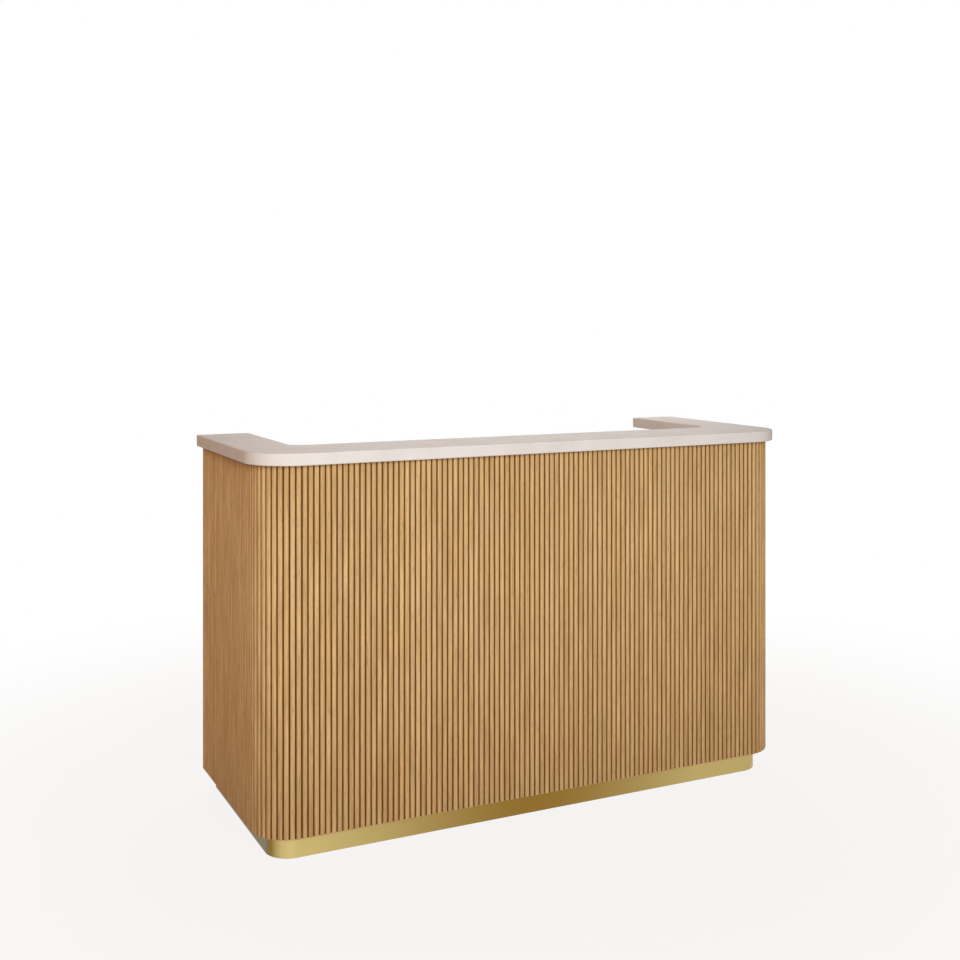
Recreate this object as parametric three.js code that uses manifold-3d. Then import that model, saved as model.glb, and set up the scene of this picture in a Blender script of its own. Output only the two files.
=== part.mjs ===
// Reception desk: a U-shaped counter on fluted oak walls with round front corners and a brass plinth.
// Behind it, on the staff side, are a worktop, a three-drawer pedestal and a cupboard.
// Millimetres, +Z up. The customer's side faces -Y. The origin is on the floor, under the desk's middle.
import * as THREE from "three";
import { mergeVertices } from "three/addons/utils/BufferGeometryUtils.js";
import Module from "manifold-3d";

const wasm = await Module();
wasm.setup();

// Overall sizes, measured over the counter
const WIDTH = 1600;
const DEPTH = 610;
const HEIGHT = 1000;

// Joinery
const PANEL = 18; // board thickness of walls, partitions, base and fronts
const FIT = 0.3; // glue line, or clearance between pieces that meet
const REVEAL = 3; // shadow gap around drawer fronts and the door

// Counter: a solid-surface sheet folded down round a board core
const COUNTER_THICK = 31;
const COUNTER_OVERHANG = 19; // past the crests of the flutes, at the front and the ends
const COUNTER_BAND = 200; // front shelf, front to back
const COUNTER_WING = 150; // side shelves, left to right
const COUNTER_INNER_RADIUS = 40;
const COUNTER_END_RADIUS = 8;
const COUNTER_EASE = 3; // softened edges
const STONE = 12; // solid-surface sheet

// Fluted oak cladding on the walls
const CORNER_RADIUS = 100; // front corners of the body, at the crests
const FLUTE_PITCH = 15; // nominal, adjusted to a whole number on each sheet
const FLUTE_GROOVE = 2.6; // flat between two reeds
const FLUTE_RISE = 6; // reed height above the backing
const FLUTE_BACKING = 3;
const REED_STEPS = 6; // facets on each reed
const REED_SQUARENESS = 2.8; // 2 is a half ellipse, more is flatter on the crest and steeper at the foot
const END_POST = 20; // oak lipping that closes the back edge of each side wall

// Plinth
const PLINTH_HEIGHT = 60;
const PLINTH_SETBACK = 37; // from the crests of the flutes
const SKIRT_SHEET = 1.5; // brass-finished sheet
const SKIRT_LIFT = 1; // clear of the floor
const PLINTH_BEAM = 100; // front beam, front to back
const KICK_SETBACK = 40; // toe space under the drawers and the cupboard
const BASE_INNER_RADIUS = 18; // base board, corners of the knee space

// Worktop and cable grommet
const WORKTOP_HEIGHT = 750;
const WORKTOP_THICK = 25;
const WORKTOP_INSET = 10; // back edge, in front of the back of the desk
const GROMMET_SETBACK = 50; // from the inside of the front wall to the middle of the grommet
const GROMMET_BORE = 61; // hole in the worktop
const GROMMET_FLANGE = 72; // outside diameter of the rim
const GROMMET_RIM = 2.5; // rim above the worktop
const GROMMET_WALL = 2.5;
const GROMMET_LEDGE = 2.4; // seat that carries the cap
const CAP_THICK = 3;
const CAP_PLAY = 0.4; // round the cap, so that it turns
const CABLE_SLOT_WIDTH = 22;
const CABLE_SLOT_DEPTH = 13;

// Pedestals: the drawers stand at the left end, the cupboard at the right end
const PEDESTAL_WIDTH = 400; // side wall to the knee-space face of the partition
const PEDESTAL_CLEAR = 35; // trays and shelf stop this far from the start of the round corners
const FRONT_SETBACK = 38; // faces of the drawers and door, from the back of the desk
const BOX_DRAWER_FRONT = 150; // the lowest drawer takes the rest of the height
const BOX_HEADROOM = 35; // rim of a box drawer's tray, below the top of its front
const FILE_HEADROOM = 70; // the same on the lowest drawer, for hanging files
const TRAY_SHEET = 1.5; // folded steel
const TRAY_LIFT = 15; // bottom of a tray above the bottom of its front

// Drawer slides: a track on the wall and a runner on the tray
const SLIDE_SPACE = 12.7; // between wall and tray
const SLIDE_HEIGHT = 35;
const SLIDE_SHEET = 1.5;
const SLIDE_FLANGE = 9; // depth of the track's lips
const SLIDE_PLAY = 0.4; // between lips and runner
const SLIDE_LIFT = 12; // bottom of the track above the bottom of the tray

// Bar handles
const HANDLE_LENGTH = 160;
const HANDLE_CENTRES = 128;
const HANDLE_BAR = 10; // diameter
const HANDLE_LEG = 8; // diameter
const HANDLE_REACH = 30; // outside of the bar from the front
const HANDLE_EDGE = 40; // door handle, from the free edge of the door
const HANDLE_DROP = 140; // middle of the door handle, below the top of the door

// Door hinges and catch
const HINGE_LEAF = 1.5;
const HINGE_HEIGHT = 60;
const HINGE_WIDTH = 18; // pin to the free edge of a leaf
const HINGE_BARREL = 6.6; // outside diameter
const HINGE_PIN = 3; // diameter
const HINGE_PLAY = 0.4; // round the pin and between knuckles
const HINGE_END = 80; // middle of a hinge from the end of the door
const CATCH_SIZE = [14, 16, 46]; // magnet case: out from the partition, front to back, tall
const STRIKE_SIZE = [12, 1.5, 40];
const SHELF_HEIGHT = 380;
const SHELF_SETBACK = 20; // behind the door

// Facets
const ARC_STEPS = 8; // half the facets on a quarter turn of a board
const EASE_STEPS = 2; // facets on a softened edge
const ROUND_SIDES = 12;
const GROMMET_SIDES = 32;

// Planes that several pieces share
const back = DEPTH / 2;
const bodyHalf = WIDTH / 2 - COUNTER_OVERHANG;
const bodyFront = COUNTER_OVERHANG - DEPTH / 2;
const cornerX = bodyHalf - CORNER_RADIUS;
const cornerY = bodyFront + CORNER_RADIUS;
const skin = FLUTE_RISE + FLUTE_BACKING + FIT;
const coreHalf = bodyHalf - skin;
const coreFront = bodyFront + skin;
const coreRadius = CORNER_RADIUS - skin;
const roomHalf = coreHalf - PANEL; // inside faces of the walls
const roomFront = coreFront + PANEL;
const roomRadius = coreRadius - PANEL;
const postFront = back - END_POST;
const wallTop = HEIGHT - COUNTER_THICK;
const baseTop = PLINTH_HEIGHT + PANEL;
const worktopUnder = WORKTOP_HEIGHT - WORKTOP_THICK;
const plinthHalf = bodyHalf - PLINTH_SETBACK;
const plinthFront = bodyFront + PLINTH_SETBACK;
const plinthRadius = CORNER_RADIUS - PLINTH_SETBACK;
const railHalf = plinthHalf - SKIRT_SHEET - FIT;
const beamBack = plinthFront + SKIRT_SHEET + FIT + PLINTH_BEAM;
const kneeHalf = roomHalf - PEDESTAL_WIDTH; // knee-space faces of the partitions
const boothHalf = kneeHalf + PANEL; // pedestal faces of the partitions
const faceOuter = back - FRONT_SETBACK; // drawer fronts and door
const faceInner = faceOuter - PANEL;
const pedestalFront = cornerY + PEDESTAL_CLEAR; // far ends of the trays and the shelf

// Finishes
const oakFluted = new THREE.MeshStandardMaterial({ color: 0xc8a073, roughness: 0.55 });
const oakBoard = new THREE.MeshStandardMaterial({ color: 0xc39a6b, roughness: 0.5 });
const whiteBoard = new THREE.MeshStandardMaterial({ color: 0xe4ded6, roughness: 0.5 });
const rawBoard = new THREE.MeshStandardMaterial({ color: 0xb59a78, roughness: 0.85 });
const stone = new THREE.MeshStandardMaterial({ color: 0xe2dad4, roughness: 0.35 });
const brass = new THREE.MeshStandardMaterial({ color: 0xc8ae68, roughness: 0.3, metalness: 1 });
const zincSteel = new THREE.MeshStandardMaterial({ color: 0xb4b6b8, roughness: 0.4, metalness: 1 });
const paintedSteel = new THREE.MeshStandardMaterial({ color: 0xd9d6d0, roughness: 0.5, metalness: 0.2 });
const greyPlastic = new THREE.MeshStandardMaterial({ color: 0xcfcac3, roughness: 0.55 });

const desk = new THREE.Group();

function add(group, name, geometry, material) {
  const mesh = new THREE.Mesh(geometry, material);
  mesh.name = name;
  group.add(mesh);
  return mesh;
}

// A flat board between two corners.
function addBoard(group, name, material, [x0, y0, z0], [x1, y1, z1]) {
  const mesh = add(group, name, new THREE.BoxGeometry(x1 - x0, y1 - y0, z1 - z0), material);
  mesh.position.set((x0 + x1) / 2, (y0 + y1) / 2, (z0 + z1) / 2);
  return mesh;
}

// A board or moulding cut to a plan outline, between two heights.
function addPlan(group, name, material, shape, z0, z1) {
  const geometry = new THREE.ExtrudeGeometry(shape, {
    depth: z1 - z0,
    bevelEnabled: false,
    curveSegments: ARC_STEPS,
  });
  const mesh = add(group, name, geometry, material);
  mesh.position.z = z0;
  return mesh;
}

// A section in X and Z, drawn out along Y.
function addSection(group, name, material, points, y0, y1) {
  const shape = new THREE.Shape(points.map(([x, z]) => new THREE.Vector2(x, z)));
  const geometry = new THREE.ExtrudeGeometry(shape, { depth: y1 - y0, bevelEnabled: false });
  const mesh = add(group, name, geometry.rotateX(Math.PI / 2), material);
  mesh.position.y = y1;
  return mesh;
}

// Joining and cutting closed meshes
function solidOf(geometry) {
  const bare = geometry.clone();
  bare.deleteAttribute("normal");
  bare.deleteAttribute("uv");
  const merged = mergeVertices(bare);
  return new wasm.Manifold(
    new wasm.Mesh({
      numProp: 3,
      vertProperties: new Float32Array(merged.attributes.position.array),
      triVerts: new Uint32Array(merged.index.array),
    }),
  );
}

function geometryOf(solid) {
  const { vertProperties, triVerts } = solid.getMesh();
  const geometry = new THREE.BufferGeometry();
  geometry.setAttribute("position", new THREE.BufferAttribute(new Float32Array(vertProperties), 3));
  geometry.setIndex(new THREE.BufferAttribute(new Uint32Array(triVerts), 1));
  geometry.computeVertexNormals();
  return geometry;
}

function block(sx, sy, sz, x, y, z) {
  return solidOf(new THREE.BoxGeometry(sx, sy, sz).translate(x, y, z));
}

// A round bar along Z whose middle is at the given point.
function rod(diameter, length, x, y, z, sides = ROUND_SIDES) {
  const bar = new THREE.CylinderGeometry(diameter / 2, diameter / 2, length, sides);
  return solidOf(bar.rotateX(Math.PI / 2).translate(x, y, z));
}

// Plan outline of a U that is open at the back, with round front corners inside and out.
function horseshoe({ half, front, rear, radius, band, wing, innerRadius, endRadius = 0 }) {
  const shape = new THREE.Shape();
  const inner = half - wing;
  const innerFront = front + band;
  shape.moveTo(-half, rear - endRadius);
  shape.lineTo(-half, front + radius);
  shape.absarc(radius - half, front + radius, radius, Math.PI, 1.5 * Math.PI);
  shape.lineTo(half - radius, front);
  shape.absarc(half - radius, front + radius, radius, -Math.PI / 2, 0);
  shape.lineTo(half, rear - endRadius);
  if (endRadius) shape.absarc(half - endRadius, rear - endRadius, endRadius, 0, Math.PI / 2);
  shape.lineTo(inner + endRadius, rear);
  if (endRadius) shape.absarc(inner + endRadius, rear - endRadius, endRadius, Math.PI / 2, Math.PI);
  shape.lineTo(inner, innerFront + innerRadius);
  shape.absarc(inner - innerRadius, innerFront + innerRadius, innerRadius, 0, -Math.PI / 2, true);
  shape.lineTo(innerRadius - inner, innerFront);
  shape.absarc(innerRadius - inner, innerFront + innerRadius, innerRadius, -Math.PI / 2, -Math.PI, true);
  shape.lineTo(-inner, rear - endRadius);
  if (endRadius) shape.absarc(-inner - endRadius, rear - endRadius, endRadius, 0, Math.PI / 2);
  shape.lineTo(endRadius - half, rear);
  if (endRadius) shape.absarc(endRadius - half, rear - endRadius, endRadius, Math.PI / 2, Math.PI);
  return shape;
}

// Plan outline of a board with round front corners.
function roundFronted(half, front, rear, radius) {
  const shape = new THREE.Shape();
  shape.moveTo(-half, rear);
  shape.lineTo(-half, front + radius);
  shape.absarc(radius - half, front + radius, radius, Math.PI, 1.5 * Math.PI);
  shape.lineTo(half - radius, front);
  shape.absarc(half - radius, front + radius, radius, -Math.PI / 2, 0);
  shape.lineTo(half, rear);
  return shape;
}

// Plan outline of a fluted sheet: rounded reeds side by side on a thin backing.
// place(along, proud) is the plan point at a distance along the backing's face and in front of it.
function flutedSheet(length, place, backSteps) {
  const count = Math.round(length / FLUTE_PITCH);
  const pitch = length / count;
  const reed = pitch - FLUTE_GROOVE;
  const rounded = (share) => Math.sign(share) * Math.abs(share) ** (2 / REED_SQUARENESS);
  const points = [place(0, 0)];
  for (let i = 0; i < count; i++) {
    const middle = (i + 0.5) * pitch;
    for (let k = 0; k <= REED_STEPS; k++) {
      const turn = (Math.PI * k) / REED_STEPS;
      const across = (reed / 2) * rounded(Math.cos(turn));
      points.push(place(middle - across, FLUTE_RISE * rounded(Math.sin(turn))));
    }
  }
  points.push(place(length, 0));
  for (let k = backSteps; k >= 0; k--) points.push(place((length * k) / backSteps, -FLUTE_BACKING));
  return new THREE.Shape(points);
}

// Plinth: a brass skirt round the front and the ends, on a frame of rails
function addPlinth() {
  const skirt = horseshoe({
    half: plinthHalf,
    front: plinthFront,
    rear: back,
    radius: plinthRadius,
    band: SKIRT_SHEET,
    wing: SKIRT_SHEET,
    innerRadius: plinthRadius - SKIRT_SHEET,
  });
  const top = PLINTH_HEIGHT - FIT;
  addPlan(desk, "plinth_skirt", brass, skirt, SKIRT_LIFT, top);

  const inset = SKIRT_SHEET + FIT;
  const beam = roundFronted(railHalf, plinthFront + inset, beamBack, plinthRadius - inset);
  addPlan(desk, "plinth_front_beam", whiteBoard, beam, 0, top);

  const railFront = beamBack + FIT;
  const kickBack = faceOuter - KICK_SETBACK;
  for (const [end, sign] of [["left", -1], ["right", 1]]) {
    const group = new THREE.Group();
    group.scale.x = sign;
    desk.add(group);
    const outer = railHalf - PANEL;
    const boards = {
      outer_rail: [[outer, railFront, 0], [railHalf, back - FIT, top]],
      inner_rail: [[kneeHalf, railFront, 0], [boothHalf, kickBack, top]],
      kick: [[boothHalf + FIT, kickBack - PANEL, 0], [outer - FIT, kickBack, top]],
    };
    for (const [board, corners] of Object.entries(boards)) {
      addBoard(group, `plinth_${end}_${board}`, whiteBoard, ...corners);
    }
  }

  const board = horseshoe({
    half: coreHalf,
    front: coreFront,
    rear: postFront - FIT,
    radius: coreRadius,
    band: beamBack - coreFront,
    wing: coreHalf - kneeHalf,
    innerRadius: BASE_INNER_RADIUS,
  });
  addPlan(desk, "base_board", whiteBoard, board, PLINTH_HEIGHT, baseTop);
}

// Walls: board cores with the fluted sheets glued on, closed at the back by oak posts
function addWalls() {
  const coreLow = baseTop + FIT;
  const high = wallTop - FIT;
  const frontHalf = cornerX - FIT;
  addBoard(desk, "front_panel", whiteBoard, [-frontHalf, coreFront, coreLow], [frontHalf, roomFront, high]);

  const faceY = bodyFront + FLUTE_RISE;
  const frontLength = 2 * frontHalf;
  const frontSheet = flutedSheet(frontLength, (s, h) => new THREE.Vector2(s - frontHalf, faceY - h), 1);
  addPlan(desk, "front_flutes", oakFluted, frontSheet, PLINTH_HEIGHT, high);

  const faceX = bodyHalf - FLUTE_RISE;
  const sideStart = cornerY + FIT;
  const sideEnd = postFront - FIT;
  const sideLength = sideEnd - sideStart;
  const sideSheet = flutedSheet(sideLength, (s, h) => new THREE.Vector2(faceX + h, sideStart + s), 1);

  const faceRadius = CORNER_RADIUS - FLUTE_RISE;
  const cornerPlace = (s, h) => {
    const turn = s / faceRadius - Math.PI / 2;
    const reach = faceRadius + h;
    return new THREE.Vector2(cornerX + reach * Math.cos(turn), cornerY + reach * Math.sin(turn));
  };
  const cornerSheet = flutedSheet((faceRadius * Math.PI) / 2, cornerPlace, 2 * ARC_STEPS);

  const shell = new THREE.Shape();
  shell.absarc(cornerX, cornerY, coreRadius, -Math.PI / 2, 0);
  shell.absarc(cornerX, cornerY, roomRadius, 0, -Math.PI / 2, true);

  const panel = [[roomHalf, sideStart, coreLow], [coreHalf, sideEnd, high]];
  const post = [[roomHalf, postFront, PLINTH_HEIGHT], [bodyHalf, back, high]];
  for (const [end, sign] of [["left", -1], ["right", 1]]) {
    const group = new THREE.Group();
    group.scale.x = sign;
    desk.add(group);
    addPlan(group, `${end}_corner_shell`, whiteBoard, shell, coreLow, high);
    addBoard(group, `${end}_side_panel`, whiteBoard, ...panel);
    addPlan(group, `${end}_corner_flutes`, oakFluted, cornerSheet, PLINTH_HEIGHT, high);
    addPlan(group, `${end}_side_flutes`, oakFluted, sideSheet, PLINTH_HEIGHT, high);
    addBoard(group, `${end}_end_post`, oakBoard, ...post);
  }
}

// Counter: the stone sheet is folded down at every edge, and a board core fills it from below
function addCounter() {
  const outline = {
    half: WIDTH / 2,
    front: -DEPTH / 2,
    rear: back,
    radius: CORNER_RADIUS + COUNTER_OVERHANG,
    band: COUNTER_BAND,
    wing: COUNTER_WING,
    innerRadius: COUNTER_INNER_RADIUS,
    endRadius: COUNTER_END_RADIUS,
  };
  const inside = (gap) =>
    horseshoe({
      half: outline.half - gap,
      front: outline.front + gap,
      rear: outline.rear - gap,
      radius: outline.radius - gap,
      band: outline.band - 2 * gap,
      wing: outline.wing - 2 * gap,
      innerRadius: outline.innerRadius + gap,
    });
  const slab = new THREE.ExtrudeGeometry(horseshoe(outline), {
    depth: COUNTER_THICK - 2 * COUNTER_EASE,
    bevelThickness: COUNTER_EASE,
    bevelSize: COUNTER_EASE,
    bevelOffset: -COUNTER_EASE,
    bevelSegments: EASE_STEPS,
    curveSegments: ARC_STEPS,
  }).translate(0, 0, wallTop + COUNTER_EASE);
  const coreTop = HEIGHT - STONE - FIT;
  const hollow = new THREE.ExtrudeGeometry(inside(STONE), {
    depth: 2 * (coreTop + FIT - wallTop),
    bevelEnabled: false,
    curveSegments: ARC_STEPS,
  }).translate(0, 0, 2 * wallTop - coreTop - FIT);
  add(desk, "counter_slab", geometryOf(solidOf(slab).subtract(solidOf(hollow))), stone);
  addPlan(desk, "counter_core", rawBoard, inside(STONE + FIT), wallTop, coreTop);
}

// Worktop with a cable grommet whose slotted cap turns
function addWorktop() {
  const half = roomHalf - FIT;
  const front = roomFront + FIT;
  const grommetY = roomFront + GROMMET_SETBACK;
  const outline = roundFronted(half, front, back - WORKTOP_INSET, roomRadius - FIT);
  const rim = new THREE.EllipseCurve(0, grommetY, GROMMET_BORE / 2, GROMMET_BORE / 2);
  outline.holes.push(new THREE.Path(rim.getPoints(GROMMET_SIDES)));
  addPlan(desk, "worktop", whiteBoard, outline, worktopUnder, WORKTOP_HEIGHT);

  const group = new THREE.Group();
  group.position.set(0, grommetY, WORKTOP_HEIGHT + FIT);
  desk.add(group);
  const sleeveOut = GROMMET_BORE / 2 - FIT;
  const sleeveIn = sleeveOut - GROMMET_WALL;
  const ledgeTop = GROMMET_RIM - CAP_THICK - FIT;
  const ledgeIn = sleeveIn - GROMMET_LEDGE;
  const ledgeUnder = ledgeTop - GROMMET_LEDGE;
  const sleeve = [
    [sleeveIn, -WORKTOP_THICK],
    [sleeveOut, -WORKTOP_THICK],
    [sleeveOut, 0],
    [GROMMET_FLANGE / 2, 0],
    [GROMMET_FLANGE / 2, GROMMET_RIM / 2],
    [GROMMET_FLANGE / 2 - GROMMET_RIM / 2, GROMMET_RIM],
    [sleeveIn, GROMMET_RIM],
    [sleeveIn, ledgeTop],
    [ledgeIn, ledgeTop],
    [ledgeIn, ledgeUnder],
    [sleeveIn, ledgeUnder - GROMMET_LEDGE],
    [sleeveIn, -WORKTOP_THICK],
  ].map(([r, z]) => new THREE.Vector2(r, z));
  const ring = new THREE.LatheGeometry(sleeve, GROMMET_SIDES).rotateX(Math.PI / 2);
  add(group, "grommet_sleeve", ring, greyPlastic);

  const capRadius = sleeveIn - CAP_PLAY;
  const disc = rod(2 * capRadius, CAP_THICK, 0, 0, 0, GROMMET_SIDES);
  const slot = block(CABLE_SLOT_WIDTH, 2 * CABLE_SLOT_DEPTH, 2 * CAP_THICK, 0, capRadius, 0);
  const cap = add(group, "grommet_cap", geometryOf(disc.subtract(slot)), greyPlastic);
  cap.position.z = ledgeTop + FIT + CAP_THICK / 2;
}

// Bar handle along X, on a face that looks towards +Y at y = 0
function barHandle() {
  const barY = HANDLE_REACH - HANDLE_BAR / 2;
  const bar = new THREE.CylinderGeometry(HANDLE_BAR / 2, HANDLE_BAR / 2, HANDLE_LENGTH, ROUND_SIDES);
  let solid = solidOf(bar.rotateZ(Math.PI / 2).translate(0, barY, 0));
  for (const sign of [-1, 1]) {
    const leg = new THREE.CylinderGeometry(HANDLE_LEG / 2, HANDLE_LEG / 2, barY - FIT, ROUND_SIDES);
    leg.translate((sign * HANDLE_CENTRES) / 2, (barY + FIT) / 2, 0);
    solid = solid.add(solidOf(leg));
  }
  return geometryOf(solid);
}

// Drawer pedestal: each drawer is an oak front on a folded steel tray that hangs on two slides
function addDrawers() {
  const wallX = -roomHalf;
  const partX = -boothHalf;
  addBoard(
    desk,
    "drawer_partition",
    whiteBoard,
    [partX, roomFront + FIT, baseTop + FIT],
    [-kneeHalf, faceInner - FIT, worktopUnder - FIT],
  );

  const lowest = baseTop + REVEAL;
  const fileFront = worktopUnder - REVEAL - lowest - 2 * (BOX_DRAWER_FRONT + REVEAL);
  const middleZ = lowest + fileFront + REVEAL;
  const topZ = middleZ + BOX_DRAWER_FRONT + REVEAL;
  const drawers = [
    ["top", topZ, BOX_DRAWER_FRONT, BOX_HEADROOM],
    ["middle", middleZ, BOX_DRAWER_FRONT, BOX_HEADROOM],
    ["bottom", lowest, fileFront, FILE_HEADROOM],
  ];
  for (const [place, z, frontHeight, headroom] of drawers) {
    const drawer = new THREE.Group();
    drawer.name = `${place}_drawer`;
    drawer.position.z = z;
    desk.add(drawer);
    const frontLow = [wallX + REVEAL, faceInner, 0];
    const frontHigh = [-kneeHalf - FIT, faceOuter, frontHeight];
    addBoard(drawer, `${place}_drawer_front`, oakBoard, frontLow, frontHigh);

    const handle = add(drawer, `${place}_drawer_handle`, barHandle(), brass);
    handle.position.set((frontLow[0] + frontHigh[0]) / 2, faceOuter, frontHeight / 2);

    const trayHeight = frontHeight - TRAY_LIFT - headroom;
    const trayFront = faceInner - FIT;
    const trayLength = trayFront - pedestalFront;
    const trayWidth = partX - wallX - 2 * SLIDE_SPACE;
    const outside = block(trayWidth, trayLength, trayHeight, 0, 0, trayHeight / 2);
    const hollowHeight = trayHeight; // runs out through the open top
    const hollow = block(
      trayWidth - 2 * TRAY_SHEET,
      trayLength - 2 * TRAY_SHEET,
      hollowHeight,
      0,
      0,
      TRAY_SHEET + hollowHeight / 2,
    );
    const tray = add(drawer, `${place}_drawer_tray`, geometryOf(outside.subtract(hollow)), paintedSteel);
    tray.position.set((wallX + partX) / 2, (trayFront + pedestalFront) / 2, TRAY_LIFT);

    const slideZ = TRAY_LIFT + SLIDE_LIFT + SLIDE_HEIGHT / 2;
    for (const [side, x, sign] of [["left", wallX, 1], ["right", partX, -1]]) {
      const slide = new THREE.Group();
      slide.position.set(x, 0, slideZ);
      slide.scale.x = sign;
      drawer.add(slide);
      addSlide(slide, `${place}_drawer_${side}`, pedestalFront, trayFront);
    }
  }
}

// One drawer slide against a wall at x = 0: a C-shaped track, and a C-shaped runner inside its lips
function addSlide(group, name, y0, y1) {
  const channel = (web, lip, halfHeight) => {
    const inward = Math.sign(lip - web) * SLIDE_SHEET;
    return [
      [web, -halfHeight],
      [lip, -halfHeight],
      [lip, SLIDE_SHEET - halfHeight],
      [web + inward, SLIDE_SHEET - halfHeight],
      [web + inward, halfHeight - SLIDE_SHEET],
      [lip, halfHeight - SLIDE_SHEET],
      [lip, halfHeight],
      [web, halfHeight],
    ];
  };
  const halfHeight = SLIDE_HEIGHT / 2;
  const runnerWeb = SLIDE_SPACE - FIT;
  const runnerLip = FIT + SLIDE_SHEET + SLIDE_PLAY;
  const runnerHalf = halfHeight - SLIDE_SHEET - SLIDE_PLAY;
  addSection(group, `${name}_track`, zincSteel, channel(FIT, FIT + SLIDE_FLANGE, halfHeight), y0, y1);
  addSection(group, `${name}_runner`, zincSteel, channel(runnerWeb, runnerLip, runnerHalf), y0, y1);
}

// Butt hinge round a pin on the Z axis, with three knuckles
const knuckle = (HINGE_HEIGHT - 2 * HINGE_PLAY) / 3;
const knuckleRoom = HINGE_BARREL + 2 * HINGE_PLAY;

// The frame leaf lies on a wall at +X and runs towards +Y. It holds the pin and the two end knuckles.
function frameLeaf() {
  const plateX = (HINGE_BARREL - HINGE_LEAF) / 2;
  const plate = block(HINGE_LEAF, HINGE_WIDTH, HINGE_HEIGHT, plateX, HINGE_WIDTH / 2, 0);
  const barrel = rod(HINGE_BARREL, HINGE_HEIGHT, 0, 0, 0);
  const middle = rod(knuckleRoom, knuckle + 2 * HINGE_PLAY, 0, 0, 0);
  const pin = rod(HINGE_PIN, HINGE_HEIGHT, 0, 0, 0);
  return geometryOf(plate.add(barrel).subtract(middle).add(pin));
}

// The door leaf lies on the face of a door at -Y and runs towards -X. It holds the middle knuckle.
function doorLeaf() {
  const plateY = (HINGE_LEAF - HINGE_BARREL) / 2;
  let solid = block(HINGE_WIDTH, HINGE_LEAF, HINGE_HEIGHT, -HINGE_WIDTH / 2, plateY, 0);
  for (const sign of [-1, 1]) {
    const room = rod(knuckleRoom, HINGE_HEIGHT, 0, 0, (sign * (knuckle + HINGE_HEIGHT)) / 2);
    solid = solid.subtract(room);
  }
  const barrel = rod(HINGE_BARREL, knuckle, 0, 0, 0);
  const bore = rod(HINGE_PIN + 2 * HINGE_PLAY, HINGE_HEIGHT, 0, 0, 0, 2 * ROUND_SIDES);
  return geometryOf(solid.add(barrel).subtract(bore));
}

// Cupboard: a partition, a fixed shelf and a door hung on two butt hinges at the side wall
function addCupboard() {
  addBoard(
    desk,
    "cupboard_partition",
    whiteBoard,
    [kneeHalf, roomFront + FIT, baseTop + FIT],
    [boothHalf, faceInner - FIT, worktopUnder - FIT],
  );
  const shelfBack = faceInner - SHELF_SETBACK;
  const shelfTop = SHELF_HEIGHT + PANEL;
  addBoard(
    desk,
    "cupboard_shelf",
    whiteBoard,
    [boothHalf + FIT, pedestalFront, SHELF_HEIGHT],
    [roomHalf - FIT, shelfBack, shelfTop],
  );

  const low = baseTop + REVEAL;
  const high = worktopUnder - REVEAL;
  const hingeX = roomHalf - FIT - HINGE_BARREL / 2;
  const hingeY = faceOuter + FIT + HINGE_BARREL / 2;
  const door = new THREE.Group();
  door.name = "cupboard_door_swing";
  desk.add(door);
  const doorLow = [kneeHalf + FIT, faceInner, low];
  const doorHigh = [roomHalf - REVEAL, faceOuter, high];
  addBoard(door, "cupboard_door", oakBoard, doorLow, doorHigh);
  const handle = add(door, "cupboard_door_handle", barHandle(), brass);
  handle.rotation.y = Math.PI / 2;
  handle.position.set(kneeHalf + HANDLE_EDGE, faceOuter, high - HANDLE_DROP);

  for (const [place, z] of [["upper", high - HINGE_END], ["lower", low + HINGE_END]]) {
    const onWall = add(desk, `${place}_hinge_frame_leaf`, frameLeaf(), brass);
    onWall.position.set(hingeX, hingeY, z);
    const onDoor = add(door, `${place}_hinge_door_leaf`, doorLeaf(), brass);
    onDoor.position.set(hingeX, hingeY, z);
  }

  const catchZ = (shelfTop + high) / 2; // half way up the space above the shelf
  const [catchX, catchY, catchTall] = CATCH_SIZE;
  const catchBack = faceInner - FIT - STRIKE_SIZE[1] - FIT;
  addBoard(
    desk,
    "door_catch",
    greyPlastic,
    [boothHalf + FIT, catchBack - catchY, catchZ - catchTall / 2],
    [boothHalf + FIT + catchX, catchBack, catchZ + catchTall / 2],
  );
  const strikeX = boothHalf + FIT + catchX / 2;
  const strike = add(door, "door_strike_plate", new THREE.BoxGeometry(...STRIKE_SIZE), zincSteel);
  strike.position.set(strikeX, faceInner - FIT - STRIKE_SIZE[1] / 2, catchZ);
}

addPlinth();
addWalls();
addCounter();
addWorktop();
addDrawers();
addCupboard();

export default desk;
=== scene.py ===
# Reception desk: fluted oak walls with round front corners, a solid-surface counter and a brass plinth.
# Metres, +Z up. The customer's side faces -Y, the staff side +Y.
import math
import random

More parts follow.
